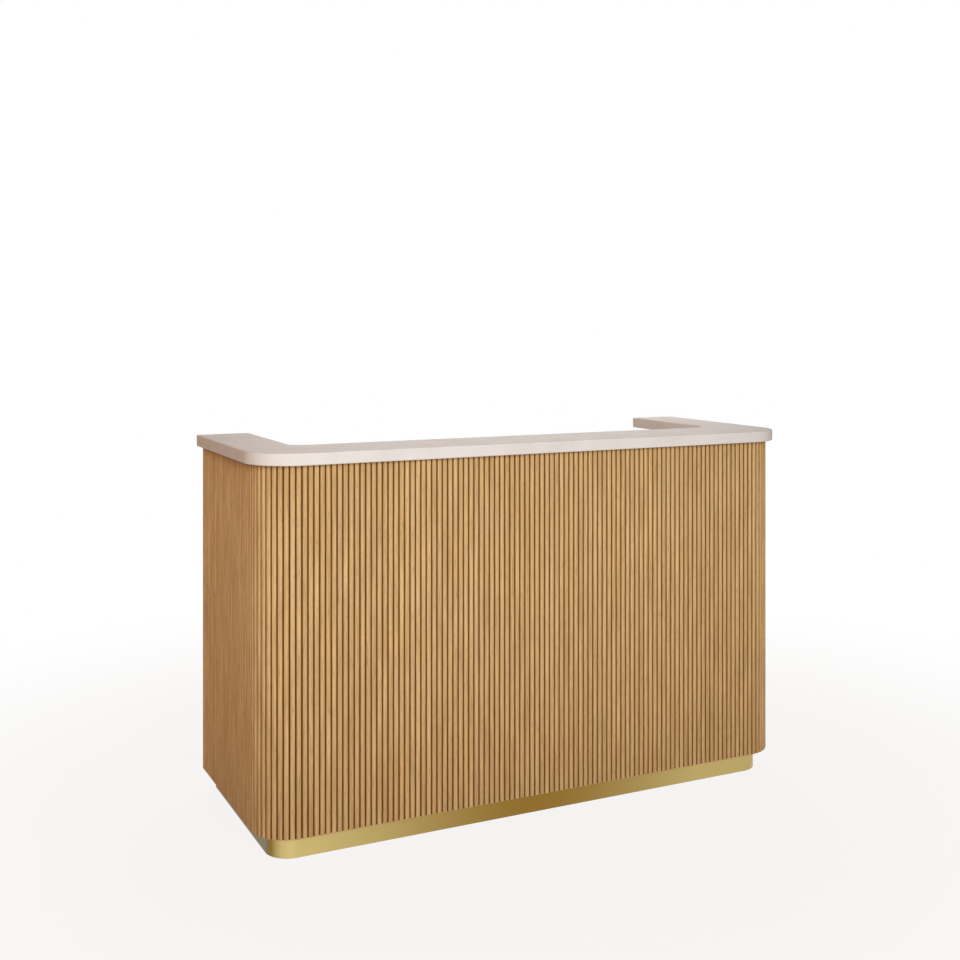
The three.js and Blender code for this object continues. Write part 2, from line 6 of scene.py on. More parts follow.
import bmesh
import bpy
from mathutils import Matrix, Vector


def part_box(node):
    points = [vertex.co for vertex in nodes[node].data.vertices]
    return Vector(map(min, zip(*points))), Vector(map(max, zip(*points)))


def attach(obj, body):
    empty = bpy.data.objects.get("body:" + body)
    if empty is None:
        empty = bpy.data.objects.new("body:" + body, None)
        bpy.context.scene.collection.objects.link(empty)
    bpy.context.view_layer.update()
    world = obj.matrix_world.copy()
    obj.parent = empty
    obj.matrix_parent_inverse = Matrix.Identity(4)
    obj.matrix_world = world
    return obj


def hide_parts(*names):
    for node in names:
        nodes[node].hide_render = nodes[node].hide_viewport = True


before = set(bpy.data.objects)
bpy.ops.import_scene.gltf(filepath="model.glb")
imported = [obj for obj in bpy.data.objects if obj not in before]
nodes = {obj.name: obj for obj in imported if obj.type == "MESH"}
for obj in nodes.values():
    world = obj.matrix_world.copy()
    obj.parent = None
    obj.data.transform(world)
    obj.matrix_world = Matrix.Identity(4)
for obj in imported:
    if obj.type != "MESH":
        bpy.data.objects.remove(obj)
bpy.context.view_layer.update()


# Plinth frame: a front beam, two outer and two inner rails, and a kick board under each pedestal.
# Chipboard faced with warm white melamine paper: hard, slightly pearled, with a matching edge strip.
# The boards are doweled together and stand on the floor.
MM = 0.001
ENDS = (("left", -1), ("right", 1))


def linear(colour):
    """An sRGB hex colour as linear RGBA."""
    parts = [int(colour[i:i + 2], 16) / 255 for i in (1, 3, 5)]
    return (*[p / 12.92 if p <= 0.04045 else ((p + 0.055) / 1.055) ** 2.4 for p in parts], 1.0)


def add_node(tree, kind, feeds=None, **settings):
    """Adds a node with its settings; feeds gives inputs, by identifier, a value or a driving socket."""
    made = tree.nodes.new(kind)
    for name, value in settings.items():
        setattr(made, name, value)
    sockets = {socket.identifier: socket for socket in made.inputs}
    for name, value in (feeds or {}).items():
        if isinstance(value, bpy.types.NodeSocket):
            tree.links.new(value, sockets[name])
        else:
            sockets[name].default_value = value
    return made


def new_finish(name, **constants):
    """A material, its node tree, its shader and the object's own coordinates in metres."""
    finish = bpy.data.materials.new(name)
    finish.use_nodes = True
    tree = finish.node_tree
    shader = tree.nodes["Principled BSDF"]
    for socket, value in constants.items():
        shader.inputs[socket.replace("_", " ")].default_value = value
    place = add_node(tree, "ShaderNodeTexCoord").outputs["Object"]
    return finish, tree, shader, place


def dress(names, finish, edge=0.6 * MM):
    """Gives CAD boards their finish, and eases their sharp edges."""
    for name in names:
        board = nodes[name]
        for slot in board.material_slots:
            slot.material = finish
        board.modifiers.new("one_skin", "WELD").merge_threshold = weld_gap
        ease = board.modifiers.new("eased_edges", "BEVEL")
        ease.width = edge
        ease.segments = 2
        ease.angle_limit = sharp_edge


weld_gap = 0.01 * MM
sharp_edge = math.radians(40)
pearl = 1.5 * MM  # drawn coarser than the real 0.5 mm
print_patch = 60 * MM  # slow change of tone in the printed paper
melamine, tree, shader, place = new_finish("white_melamine", Roughness=0.42)
grain = add_node(tree, "ShaderNodeTexNoise", {"Vector": place, "Scale": 1 / pearl, "Detail": 3.0})
print_tone = add_node(tree, "ShaderNodeTexNoise", {
    "Vector": place, "Scale": 1 / print_patch, "Detail": 2.0,
})
tone = add_node(tree, "ShaderNodeMix", {
    "Factor_Float": print_tone.outputs["Fac"],
    "A_Color": linear("#efebe5"),
    "B_Color": linear("#f6f3ee"),
}, data_type="RGBA")
skin = add_node(tree, "ShaderNodeBump", {
    "Height": grain.outputs["Fac"], "Strength": 0.12, "Distance": 0.1 * MM,
})
tree.links.new(tone.outputs[2], shader.inputs["Base Color"])
tree.links.new(skin.outputs["Normal"], shader.inputs["Normal"])

rails = [f"plinth_{end}_{rail}" for end, _ in ENDS for rail in ("outer_rail", "inner_rail", "kick")]
dress(["plinth_front_beam", *rails], melamine)


# Plinth skirt: one strip of brass-finished sheet, bent round the front corners and glued to the frame.
# Brushed along its length and lacquered, so that it shines softly in a long streak.
# Painted reflection and shade along the strip: palest at the left corner, deepest in the middle, dull
# along the ends.
def loft(maker, rings, closed=False):
    """Skins rings of points, each joined to the next; the end rings are filled, or joined if closed."""
    loops = [[maker.verts.new(point) for point in ring] for ring in rings]
    turns = list(zip(loops, loops[1:]))
    if closed:
        turns.append((loops[-1], loops[0]))
    else:
        maker.faces.new(loops[0])
        maker.faces.new(loops[-1])
    for low, high in turns:
        for i, corner in enumerate(low):
            j = (i + 1) % len(low)
            maker.faces.new((corner, low[j], high[j], high[i])).smooth = True


def piece(name, maker, finish, body, node, crease=None):
    """Makes what was skinned a piece that rides with its body and stands for a CAD node.

    Edges that turn by more than the crease, in degrees, are shaded sharp.
    """
    bmesh.ops.recalc_face_normals(maker, faces=maker.faces)
    mesh = bpy.data.meshes.new(name)
    maker.to_mesh(mesh)
    maker.free()
    mesh.materials.append(finish)
    made = bpy.data.objects.new(name, mesh)
    bpy.context.scene.collection.objects.link(made)
    if crease:
        made.modifiers.new("square_edges", "EDGE_SPLIT").split_angle = math.radians(crease)
    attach(made, body)
    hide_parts(node)


def arc(centre, radius, start, stop, steps):
    """Plan points of an arc and the way each one faces."""
    turns = [math.radians(start + (stop - start) * k / steps) for k in range(steps + 1)]
    ways = [Vector((math.cos(t), math.sin(t), 0)) for t in turns]
    return [(Vector((*centre, 0)) + radius * way, way) for way in ways]


brush = 1.6 * MM  # spacing of the streaks, drawn coarser than the real 0.1 mm so that they show
brush_stroke = 250 * MM  # length of a streak
brass, tree, shader, place = new_finish("brushed_brass", Metallic=1.0)
along = add_node(tree, "ShaderNodeMapping", {
    "Vector": place, "Scale": (1 / brush_stroke, 1 / brush_stroke, 1 / brush),
})
streaks = add_node(tree, "ShaderNodeTexNoise", {
    "Vector": along.outputs["Vector"], "Scale": 1.0, "Detail": 5.0, "Roughness": 0.6,
})
# Painted reflection and shade: the colour runs from pale brass to deep brass, and on to a dull dark
# brass.
tone_and_painted_reflection = add_node(tree, "ShaderNodeAttribute", attribute_name="tone_and_painted_reflection").outputs["Fac"]  # 1 deepest, 2 dull
deeper = add_node(tree, "ShaderNodeMix", {
    "Factor_Float": tone_and_painted_reflection, "A_Color": linear("#cbb677"), "B_Color": linear("#937131"),
}, data_type="RGBA")
past_deep = add_node(tree, "ShaderNodeMath", {"Value": tone_and_painted_reflection, "Value_001": 1.0}, operation="SUBTRACT")
tone = add_node(tree, "ShaderNodeMix", {
    "Factor_Float": past_deep.outputs["Value"],
    "A_Color": deeper.outputs[2],
    "B_Color": linear("#786a44"),
}, data_type="RGBA")
gloss = add_node(tree, "ShaderNodeMapRange", {
    "Value": streaks.outputs["Fac"], "To Min": 0.32, "To Max": 0.5,
})
scratch = add_node(tree, "ShaderNodeBump", {
    "Height": streaks.outputs["Fac"], "Strength": 0.08, "Distance": 0.1 * MM,
})
tree.links.new(tone.outputs[2], shader.inputs["Base Color"])
tree.links.new(gloss.outputs["Result"], shader.inputs["Roughness"])
tree.links.new(scratch.outputs["Normal"], shader.inputs["Normal"])

skirt_low, skirt_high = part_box("plinth_skirt")
skirt_radius = 63 * MM
skirt_sheet = 1.5 * MM
skirt_arris = 0.4 * MM
bend_steps = 24
front_steps = 12  # from the middle to a corner
hub_x, hub_y = skirt_high.x - skirt_radius, skirt_low.y + skirt_radius
skirt_line = [(Vector((-skirt_high.x, skirt_high.y, 0)), Vector((-1, 0, 0)))]
skirt_line += arc((-hub_x, hub_y), skirt_radius, 180, 270, bend_steps)
for k in range(1 - front_steps, front_steps):
    skirt_line.append((Vector((hub_x * k / front_steps, skirt_low.y, 0)), Vector((0, -1, 0))))
skirt_line += arc((hub_x, hub_y), skirt_radius, 270, 360, bend_steps)
skirt_line += [(Vector((skirt_high.x, skirt_high.y, 0)), Vector((1, 0, 0)))]
skirt_section = [
    (0, skirt_arris), (skirt_arris, 0), (skirt_sheet - skirt_arris, 0), (skirt_sheet, skirt_arris),
]
skirt_rings = []
for point, way in skirt_line:
    foot = [point - way * depth + Vector((0, 0, skirt_low.z + rise)) for depth, rise in skirt_section]
    head = [point - way * depth + Vector((0, 0, skirt_high.z - rise)) for depth, rise in skirt_section]
    skirt_rings.append(foot + head[::-1])
maker = bmesh.new()
painted_reflection_mark = maker.verts.layers.float.new("tone_and_painted_reflection")
loft(maker, skirt_rings)
# Painted reflection and shade along the skirt: pale towards the left corner, deep in the middle, dull on
# the ends.
deepest_x = -20 * MM
pale_run = 750 * MM  # from the deepest tone to the palest
right_depth = 0.2  # the right half never gets quite as pale as the left one
dull_start, dull_run = 0.2, 0.7  # parts of the corner radius, back from the front
for corner in maker.verts:
    pale = min(abs(corner.co.x - deepest_x) / pale_run, 1)
    deep = max(1 - pale * pale * (3 - 2 * pale), right_depth if corner.co.x > 0 else 0)
    dull = min(max((corner.co.y - skirt_low.y) / skirt_radius - dull_start, 0) / dull_run, 1)
    corner[painted_reflection_mark] = deep + 2 * dull
piece("plinth_skirt_sheet", maker, brass, "desk", "plinth_skirt", crease=30)


# Base board and walls: the base lies on the plinth frame, and the front and side panels stand on it.
# The same white melamine board, screwed together from inside.
dress(["base_board", "front_panel", *[f"{end}_side_panel" for end, _ in ENDS]], melamine)


# Corner shells: thin plies glued up round a former, between the front panel and each side panel.
# Faced with the same white paper, with square ends that butt against the panels.
shell_board = 18 * MM
shell_steps = 32
for end, sign in ENDS:
    shell_low, shell_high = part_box(f"{end}_corner_shell")
    shell_radius = shell_high.y - shell_low.y
    hub = (shell_low.x if sign > 0 else shell_high.x, shell_high.y)
    sweep = (270, 360) if sign > 0 else (180, 270)
    shell_rings = []
    for point, way in arc(hub, shell_radius, *sweep, shell_steps):
        inner = point - way * shell_board
        section = (
            (point, shell_low.z), (inner, shell_low.z), (inner, shell_high.z), (point, shell_high.z),
        )
        shell_rings.append([spot + Vector((0, 0, z)) for spot, z in section])
    maker = bmesh.new()
    loft(maker, shell_rings)
    piece(
        f"{end}_corner_ply_shell", maker, melamine, "desk",
        f"{end}_corner_shell", crease=40,
    )


# Fluted cladding: rounded oak reeds side by side on a thin backing, glued to the walls in five sheets.
# Each reed is its own strip of solid oak under matt lacquer: straight grain with long dark pores,
# a little lighter or redder from reed to reed, and painted shade makes the grooves dark and warm.
def oak_grain(tree, shader, place, number, figure_width, years):
    """Oak with upright grain, as a colour; number sets one strip or board apart from the next."""
    figure_length, grain_length = 900 * MM, 140 * MM
    pore_width = 1.2 * MM  # drawn coarser than the real 0.3 mm
    grain_width, pore_length = 3 * pore_width, 25 * pore_width
    farthest = (0.013, 0.007, 1.7)  # metres between the two strips that lie farthest apart in the log
    apart = add_node(tree, "ShaderNodeVectorMath", {
        "Vector": farthest, "Scale": number,
    }, operation="SCALE")
    log = add_node(tree, "ShaderNodeVectorMath", {
        "Vector": place, "Vector_001": apart.outputs["Vector"],
    }, operation="ADD")
    layers = {
        "figure": (figure_width, figure_length, 2.0),
        "grain": (grain_width, grain_length, 5.0),
        "pores": (pore_width, pore_length, 4.0),
    }
    noise = {}
    for layer, (width, length, detail) in layers.items():
        scale = (1 / width, 1 / width, 1 / length)
        stretched = add_node(tree, "ShaderNodeMapping", {"Vector": log.outputs["Vector"], "Scale": scale})
        noise[layer] = add_node(tree, "ShaderNodeTexNoise", {
            "Vector": stretched.outputs["Vector"], "Scale": 1.0, "Detail": detail, "Roughness": 0.55,
        }).outputs["Fac"]
    rings = add_node(tree, "ShaderNodeMath", {
        "Value": noise["figure"], "Value_001": years,
    }, operation="MULTIPLY")
    flame = add_node(tree, "ShaderNodeMath", {"Value": rings.outputs["Value"]}, operation="SINE")
    late = add_node(tree, "ShaderNodeMapRange", {
        "Value": flame.outputs["Value"],
        "From Min": -1.0, "From Max": 1.0, "To Min": 0.06, "To Max": 0.44,
    })
    body = add_node(tree, "ShaderNodeMix", {
        "Factor_Float": late.outputs["Result"],
        "A_Color": linear("#d9b582"),
        "B_Color": linear("#c1945f"),
    }, data_type="RGBA")
    fine = add_node(tree, "ShaderNodeMapRange", {
        "Value": noise["grain"], "From Min": 0.3, "From Max": 0.7, "To Min": 0.77, "To Max": 1.15,
    })
    grained = add_node(tree, "ShaderNodeMix", {
        "Factor_Float": 1.0, "A_Color": body.outputs[2], "B_Color": fine.outputs["Result"],
    }, data_type="RGBA", blend_type="MULTIPLY")
    pits = add_node(tree, "ShaderNodeMapRange", {
        "Value": noise["pores"], "From Min": 0.55, "From Max": 0.7, "To Min": 0.0, "To Max": 0.65,
    })
    pored = add_node(tree, "ShaderNodeMix", {
        "Factor_Float": pits.outputs["Result"],
        "A_Color": grained.outputs[2],
        "B_Color": linear("#8a6138"),
    }, data_type="RGBA")
    sunk = add_node(tree, "ShaderNodeBump", {
        "Height": pits.outputs["Result"], "Strength": 0.3, "Distance": 0.2 * MM,
    }, invert=True)
    tree.links.new(sunk.outputs["Normal"], shader.inputs["Normal"])
    return pored.outputs[2]


reed_oak, tree, shader, place = new_finish(
    "matt_lacquered_oak_reeds", Roughness=0.7, Specular_IOR_Level=0.08,
)
number = add_node(tree, "ShaderNodeAttribute", attribute_name="reed").outputs["Fac"]
oak_colour = oak_grain(tree, shader, place, number, figure_width=60 * MM, years=40.0)
spread = add_node(tree, "ShaderNodeMix", {
    "Factor_Float": number, "A_Color": linear("#f2f0ee"), "B_Color": linear("#fbfaf8"),
}, data_type="RGBA")
toned = add_node(tree, "ShaderNodeMix", {
    "Factor_Float": 1.0, "A_Color": oak_colour, "B_Color": spread.outputs[2],
}, data_type="RGBA", blend_type="MULTIPLY")
# Painted shade in the grooves: towards the backing the colour darkens and turns a warm dark brown.
proud = add_node(tree, "ShaderNodeAttribute", attribute_name="proud")
groove_shade = 0.8  # the part of a reed's height that the dark of the groove reaches up
rise = add_node(tree, "ShaderNodeMapRange", {
    "Value": proud.outputs["Fac"], "From Min": 0.0, "From Max": groove_shade,
})
depth = add_node(tree, "ShaderNodeMapRange", {
    "Value": proud.outputs["Fac"],
    "From Min": 0.0, "From Max": groove_shade, "To Min": 1.7, "To Max": 1.0,
})
deepened = add_node(tree, "ShaderNodeGamma", {
    "Color": toned.outputs[2], "Gamma": depth.outputs["Result"],
})
painted_groove_shade = add_node(tree, "ShaderNodeMix", {
    "Factor_Float": rise.outputs["Result"],
    "A_Color": linear("#5c360a"),
    "B_Color": deepened.outputs["Color"],
}, data_type="RGBA")
tree.links.new(painted_groove_shade.outputs[2], shader.inputs["Base Color"])

reed_pitch = 15 * MM
reed_groove = 2.6 * MM
reed_rise = 6 * MM
reed_backing = 3 * MM
reed_facets = 14
reed_squareness = 2.8  # 2 is a true half ellipse, more is flatter on the crest and steeper at the foot
reed_arris = 0.8 * MM  # the cut ends are lightly sanded
chance = random.Random(7)


def fluted_sheet(name, node, length, plan):
    """Reeds on a backing; plan(along, proud) is a point along the sheet and in front of its backing."""
    low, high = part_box(node)
    count = round(length / reed_pitch)
    pitch = length / count
    half_reed = (pitch - reed_groove) / 2
    maker = bmesh.new()
    reed_mark = maker.verts.layers.float.new("reed")
    proud_mark = maker.verts.layers.float.new("proud")

    def column(along, proud, reed):
        """A line of points up the sheet, drawn in at the two cut ends."""
        eased = proud - min(reed_arris, proud) if proud > 0 else proud
        stands = (
            (eased, low.z), (proud, low.z + reed_arris), (proud, high.z - reed_arris), (eased, high.z),
        )
        points = []
        for out, z in stands:
            point = maker.verts.new((*plan(along, out), z))
            point[reed_mark] = reed
            point[proud_mark] = max(out, 0) / reed_rise
            points.append(point)
        return points

    def strip(left, right, smooth):
        for k in range(len(left) - 1):
            maker.faces.new((left[k], right[k], right[k + 1], left[k + 1])).smooth = smooth

    edge = column(0, 0, 0)
    rear = column(0, -reed_backing, 0)
    strip(rear, edge, False)
    for i in range(count):
        reed = chance.random()
        middle = (i + 0.5) * pitch
        face = [edge]
        for k in range(reed_facets + 1):
            turn = math.pi * k / reed_facets
            across = math.copysign(abs(math.cos(turn)) ** (2 / reed_squareness), math.cos(turn))
            proud = abs(math.sin(turn)) ** (2 / reed_squareness)
            face.append(column(middle - half_reed * across, reed_rise * proud, reed))
        edge = column((i + 1) * pitch, 0, reed)
        face.append(edge)
        for k, (left, right) in enumerate(zip(face, face[1:])):
            strip(left, right, 0 < k <= reed_facets)
        next_rear = column((i + 1) * pitch, -reed_backing, reed)
        strip(next_rear, rear, False)
        for end in (0, -1):
            maker.faces.new([points[end] for points in face] + [next_rear[end], rear[end]])
        rear = next_rear
    strip(edge, rear, False)
    piece(name, maker, reed_oak, "desk", node)


flute_low, flute_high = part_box("front_flutes")
face_y = flute_low.y + reed_rise
fluted_sheet(
    "front_reeds", "front_flutes", flute_high.x - flute_low.x,
    lambda along, proud: (flute_low.x + along, face_y - proud),
)
for end, sign in ENDS:
    side_low, side_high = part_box(f"{end}_side_flutes")
    face_x = max(side_high.x, -side_low.x) - reed_rise
    fluted_sheet(
        f"{end}_side_reeds", f"{end}_side_flutes", side_high.y - side_low.y,
        lambda along, proud: (sign * (face_x + proud), side_low.y + along),
    )
    bend_low, bend_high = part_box(f"{end}_corner_flutes")
    hub_x = min(abs(bend_low.x), abs(bend_high.x))
    hub_y = bend_high.y
    bend = hub_y - bend_low.y - reed_rise

    def round_corner(along, proud):
        turn = along / bend - math.pi / 2
        return sign * (hub_x + (bend + proud) * math.cos(turn)), hub_y + (bend + proud) * math.sin(turn)

    fluted_sheet(f"{end}_corner_reeds", f"{end}_corner_flutes", bend * math.pi / 2, round_corner)


# End posts, drawer fronts and the cupboard door: boards faced with upright oak veneer, same lacquer.
# The veneer is laid so that its figure runs through from the lowest drawer front to the top one.
# The posts close the back edges of the side walls; the fronts are screwed to their trays.
veneer_oak, tree, shader, place = new_finish(
    "matt_lacquered_oak_veneer", Roughness=0.7, Specular_IOR_Level=0.08,
)
oak_colour = oak_grain(tree, shader, place, 0.0, figure_width=160 * MM, years=70.0)
tree.links.new(oak_colour, shader.inputs["Base Color"])
drawers = ("top", "middle", "bottom")
posts = [f"{end}_end_post" for end, _ in ENDS]
fronts = [f"{drawer}_drawer_front" for drawer in drawers]
dress([*posts, *fronts, "cupboard_door"], veneer_oak, edge=0.8 * MM)


# Counter core: the U-shaped board that fills the counter from below and stiffens it.
# Bare chipboard, with small flakes of lighter and darker wood; it shows only from underneath.
chip = 6 * MM  # length of a flake
chipboard, tree, shader, place = new_finish("bare_chipboard", Roughness=0.85)
flakes = add_node(tree, "ShaderNodeTexVoronoi", {"Vector": place, "Scale": 1 / chip})
dust = add_node(tree, "ShaderNodeTexNoise", {"Vector": place, "Scale": 2 / chip, "Detail": 4.0})
tone = add_node(tree, "ShaderNodeMix", {
    "Factor_Float": flakes.outputs["Color"],
    "A_Color": linear("#a5865d"),
    "B_Color": linear("#c4a579"),
}, data_type="RGBA")
press = add_node(tree, "ShaderNodeBump", {
    "Height": dust.outputs["Fac"], "Strength": 0.4, "Distance": 0.3 * MM,
})
tree.links.new(tone.outputs[2], shader.inputs["Base Color"])
tree.links.new(press.outputs["Normal"], shader.inputs["Normal"])
dress(["counter_core"], chipboard)


# Counter: a U-shaped solid-surface sheet, folded down at every edge and bonded to the core.
# Acrylic stone, sanded to satin: an even warm off-white with very fine specks and softly rounded edges.
speck = 2 * MM  # drawn coarser than the real 0.5 mm
stone_patch = 90 * MM
acrylic_stone, tree, shader, place = new_finish(
    "satin_acrylic_stone", Roughness=0.6, IOR=1.5, Specular_IOR_Level=0.02,
)
specks = add_node(tree, "ShaderNodeTexNoise", {"Vector": place, "Scale": 1 / speck, "Detail": 3.0})
clouds = add_node(tree, "ShaderNodeTexNoise", {"Vector": place, "Scale": 1 / stone_patch, "Detail": 2.0})
mix = add_node(tree, "ShaderNodeMath", {
    "Value": specks.outputs["Fac"], "Value_001": clouds.outputs["Fac"],
}, operation="ADD")
amount = add_node(tree, "ShaderNodeMapRange", {
    "Value": mix.outputs["Value"], "From Min": 0.7, "From Max": 1.3,
})
tone = add_node(tree, "ShaderNodeMix", {
    "Factor_Float": amount.outputs["Result"],
    "A_Color": linear("#d3ccc7"),
    "B_Color": linear("#ddd7d2"),
}, data_type="RGBA")
sanding = add_node(tree, "ShaderNodeBump", {
    "Height": specks.outputs["Fac"], "Strength": 0.04, "Distance": 0.1 * MM,
})
tree.links.new(tone.outputs[2], shader.inputs["Base Color"])
tree.links.new(sanding.outputs["Normal"], shader.inputs["Normal"])

slab_low, slab_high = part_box("counter_slab")
slab_radius = 119 * MM
slab_band = 200 * MM  # front shelf, front to back
slab_wing = 150 * MM  # side shelves
slab_inner_radius = 40 * MM
slab_end_radius = 8 * MM
slab_ease = 3 * MM
slab_sheet = 12 * MM
slab_flat, edge_flat = 2 * MM, 1 * MM  # flat rings beside the rounded edges
least_radius = 0.2 * MM
outer_steps, inner_steps, end_steps = 40, 24, 8


def slab_outline(inset, z):
    """The counter's outline, drawn in all round by the inset."""
    half, front, rear = slab_high.x - inset, slab_low.y + inset, slab_high.y - inset
    inner_half, inner_front = slab_high.x - slab_wing + inset, slab_low.y + slab_band - inset
    radius, hollow = slab_radius - inset, slab_inner_radius + inset
    end = max(slab_end_radius - inset, least_radius)
    line = arc((radius - half, front + radius), radius, 180, 270, outer_steps)
    line += arc((half - radius, front + radius), radius, 270, 360, outer_steps)
    line += arc((half - end, rear - end), end, 0, 90, end_steps)
    line += arc((inner_half + end, rear - end), end, 90, 180, end_steps)
    line += arc((inner_half - hollow, inner_front + hollow), hollow, 0, -90, inner_steps)
    line += arc((hollow - inner_half, inner_front + hollow), hollow, 270, 180, inner_steps)
    line += arc((-inner_half - end, rear - end), end, 0, 90, end_steps)
    line += arc((end - half, rear - end), end, 90, 180, end_steps)
    return [point + Vector((0, 0, z)) for point, _ in line]


ease_steps = 5
quarter = [math.radians(90 * k / ease_steps) for k in range(ease_steps + 1)]
slab_rings = [slab_outline(slab_sheet + slab_flat, slab_high.z - slab_sheet)]
slab_rings.append(slab_outline(slab_sheet, slab_high.z - slab_sheet))
slab_rings.append(slab_outline(slab_sheet, slab_low.z))
for turn in quarter:
    in_by, up_by = slab_ease * (1 - math.sin(turn)), slab_ease * (1 - math.cos(turn))
    slab_rings.append(slab_outline(in_by, slab_low.z + up_by))
slab_rings.append(slab_outline(0, slab_low.z + slab_ease + edge_flat))
slab_rings.append(slab_outline(0, slab_high.z - slab_ease - edge_flat))
for turn in quarter:
    in_by, down_by = slab_ease * (1 - math.cos(turn)), slab_ease * (1 - math.sin(turn))
    slab_rings.append(slab_outline(in_by, slab_high.z - down_by))
slab_rings.append(slab_outline(slab_ease + slab_flat, slab_high.z))
maker = bmesh.new()
loft(maker, slab_rings)
piece("counter_top_slab", maker, acrylic_stone, "desk", "counter_slab", crease=50)


# Worktop, partitions and shelf: the sitting-height top lies between the walls on the two partitions.
# The same white melamine board, with a matching edge strip.
dress(["worktop", "drawer_partition", "cupboard_partition", "cupboard_shelf"], melamine, edge=1 * MM)


# Cable grommet: a sleeve pressed into the worktop, and a cap that turns on a ledge in the sleeve.
# Moulded ABS in warm grey with a fine spark-eroded texture.
# The cap has a slot for cables and a raised border.
def turned(maker, start, way, profile, sides=32, closed=False):
    """A turned form on an axis; the profile gives distances along it and radii."""
    across = way.orthogonal().normalized()
    other = way.cross(across)
    spokes = []
    for k in range(sides):
        turn = 2 * math.pi * k / sides
        spokes.append(across * math.cos(turn) + other * math.sin(turn))
    rings = [[start + way * along + spoke * radius for spoke in spokes] for along, radius in profile]
    loft(maker, rings, closed)


spark = 1.2 * MM  # drawn coarser than the real 0.1 mm
moulded_abs, tree, shader, place = new_finish("moulded_abs", Roughness=0.5, IOR=1.53)
erosion = add_node(tree, "ShaderNodeTexNoise", {"Vector": place, "Scale": 1 / spark, "Detail": 4.0})
tone = add_node(tree, "ShaderNodeMix", {
    "Factor_Float": erosion.outputs["Fac"],
    "A_Color": linear("#c5bfb7"),
    "B_Color": linear("#d3cec7"),
}, data_type="RGBA")
pitted = add_node(tree, "ShaderNodeBump", {
    "Height": erosion.outputs["Fac"], "Strength": 0.25, "Distance": 0.1 * MM,
})
tree.links.new(tone.outputs[2], shader.inputs["Base Color"])
tree.links.new(pitted.outputs["Normal"], shader.inputs["Normal"])

UP = Vector((0, 0, 1))
sleeve_low, sleeve_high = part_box("grommet_sleeve")
sleeve_axis = (sleeve_low + sleeve_high) / 2
rim, flange, sleeve_out, sleeve_in, ledge_in = 2.5 * MM, 36 * MM, 30.2 * MM, 27.7 * MM, 25.3 * MM
ledge_top, ledge_under, ledge_foot, tail = -0.8 * MM, -3.2 * MM, -5.6 * MM, -25 * MM
rim_round, rim_arris = 1.4 * MM, 0.4 * MM
sleeve_sides = 72
sleeve_profile = [
    (tail, sleeve_in), (tail, sleeve_out), (0, sleeve_out), (0, flange), (rim - rim_round, flange),
]
for turn in quarter[1:]:
    down_by, in_by = rim_round * (1 - math.sin(turn)), rim_round * (1 - math.cos(turn))
    sleeve_profile.append((rim - down_by, flange - in_by))
sleeve_profile += [
    (rim, sleeve_in + rim_arris), (rim - rim_arris, sleeve_in), (ledge_top, sleeve_in),
    (ledge_top, ledge_in), (ledge_under, ledge_in), (ledge_foot, sleeve_in),
]
maker = bmesh.new()
seat = Vector((sleeve_axis.x, sleeve_axis.y, sleeve_high.z - rim))
turned(maker, seat, UP, sleeve_profile, sleeve_sides, True)
piece("grommet_moulded_sleeve", maker, moulded_abs, "desk", "grommet_sleeve", crease=35)

cap_low, cap_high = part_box("grommet_cap")
cap_radius = 27.3 * MM
cap_slot = 22 * MM  # wide
cap_slot_depth = 13 * MM
cap_slot_corner = 3 * MM
cap_arris = 0.4 * MM
border_rise, border_width, border_foot = 0.5 * MM, 2.2 * MM, 2.6 * MM
cap_steps, slot_steps = 64, 6


def cap_outline(inset, z):
    """The cap's outline with its slot, drawn in all round by the inset."""
    radius, half, corner = cap_radius - inset, cap_slot / 2 + inset, cap_slot_corner + inset
    floor_y = cap_radius - cap_slot_depth - inset
    lip = math.degrees(math.acos(half / radius))
    line = arc((0, 0), radius, 180 - lip, 360 + lip, cap_steps)
    line += arc((half - corner, floor_y + corner), corner, 0, -90, slot_steps)
    line += arc((corner - half, floor_y + corner), corner, -90, -180, slot_steps)
    return [point + Vector((sleeve_axis.x, sleeve_axis.y, z)) for point, _ in line]


maker = bmesh.new()
loft(maker, [
    cap_outline(cap_arris, cap_low.z), cap_outline(0, cap_low.z + cap_arris),
    cap_outline(0, cap_high.z - border_rise), cap_outline(border_rise, cap_high.z),
    cap_outline(border_width, cap_high.z), cap_outline(border_foot, cap_high.z - border_rise),
])
piece("grommet_moulded_cap", maker, moulded_abs, "cap", "grommet_cap", crease=35)


# Bar handles: a round bar on two legs, screwed on from behind the drawer front or the door.
# Turned brass, brushed like the skirt and of one even tone, with softly rounded ends.
def eased_bar(length, radius, ease):
    """The profile of a round bar with rounded ends."""
    end = [(ease * (1 - math.cos(turn)), radius - ease * (1 - math.sin(turn))) for turn in quarter]
    return end + [(length - along, size) for along, size in reversed(end)]


def even_tone(maker, tone_and_painted_reflection):
    """Gives brass fittings one tone, between the skirt's palest and its deepest."""
    mark = maker.verts.layers.float.new("tone_and_painted_reflection")
    for corner in maker.verts:
        corner[mark] = tone_and_painted_reflection


